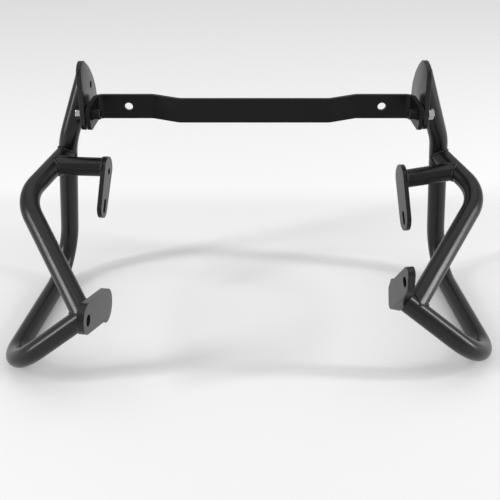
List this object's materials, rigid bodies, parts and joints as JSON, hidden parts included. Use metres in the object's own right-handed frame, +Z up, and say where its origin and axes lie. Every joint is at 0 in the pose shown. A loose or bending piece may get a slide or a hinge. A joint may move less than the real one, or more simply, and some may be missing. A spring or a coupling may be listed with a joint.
{
  "type": "motorcycle crash bars",
  "caption": "Black tubular motorcycle crash bars: a bent tube guard for each side, bolted to a flat cross brace.",
  "frame": {"origin": "on the floor under the middle of the bounding box", "axes": "+X to the right along the cross brace, +Y to the back, +Z up"},
  "size_m": [0.6234, 0.3348, 0.3415],
  "materials": {
    "powder_coat": "satin",
    "bolt_black": "semi-gloss",
    "zinc": "satin"
  },
  "bodies": {
    "root": {"cross_brace": "powder_coat", "left_main_tube": "powder_coat", "left_front_tube": "powder_coat", "left_stub_tube": "powder_coat", "left_top_plate": "powder_coat", "left_middle_bracket": "powder_coat", "left_lower_plate": "powder_coat", "left_joint_bolt": "bolt_black", "left_spring_washer": "bolt_black", "left_flat_washer": "bolt_black", "left_spacer_washer": "bolt_black", "left_nut": "zinc", "right_main_tube": "powder_coat", "right_front_tube": "powder_coat", "right_stub_tube": "powder_coat", "right_top_plate": "powder_coat", "right_middle_bracket": "powder_coat", "right_lower_plate": "powder_coat", "right_joint_bolt": "bolt_black", "right_spring_washer": "bolt_black", "right_flat_washer": "bolt_black", "right_spacer_washer": "bolt_black", "right_nut": "zinc"}
  },
  "joints": []
}
